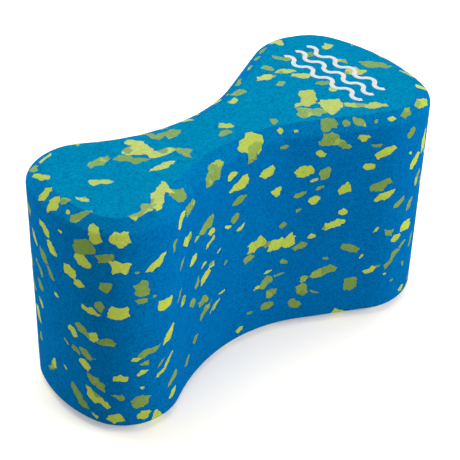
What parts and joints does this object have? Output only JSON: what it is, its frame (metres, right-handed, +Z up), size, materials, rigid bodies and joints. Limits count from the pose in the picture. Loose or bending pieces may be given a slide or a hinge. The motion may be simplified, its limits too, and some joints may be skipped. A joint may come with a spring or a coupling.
{
  "type": "pull buoy",
  "caption": "Hourglass foam block with two unequal lobes, bevelled flat faces and a thigh groove on each side, moulded from mixed foam chips.",
  "frame": {"origin": "on the lower flat face, midway between the two thigh grooves at the waist", "axes": "+X from the small lobe to the big lobe, +Y across the waist, +Z up along the thigh grooves"},
  "size_m": [0.24, 0.1144, 0.136],
  "materials": {
    "foam": "matte closed-cell foam, cut and lightly buffed",
    "lime_chip": "matte closed-cell foam",
    "olive_chip": "matte closed-cell foam",
    "print": "flat screen-printed ink"
  },
  "bodies": {
    "root": {"foam_body": "foam", "lime_chips_big_end": "lime_chip", "lime_chips_bottom": "lime_chip", "lime_chips_front": "lime_chip", "lime_chips_lower_rim": "lime_chip", "lime_chips_rear": "lime_chip", "lime_chips_small_end": "lime_chip", "lime_chips_top": "lime_chip", "lime_chips_upper_rim": "lime_chip", "olive_chips_big_end": "olive_chip", "olive_chips_bottom": "olive_chip", "olive_chips_front": "olive_chip", "olive_chips_lower_rim": "olive_chip", "olive_chips_rear": "olive_chip", "olive_chips_small_end": "olive_chip", "olive_chips_top": "olive_chip", "olive_chips_upper_rim": "olive_chip", "printed_mark": "print"}
  },
  "joints": []
}
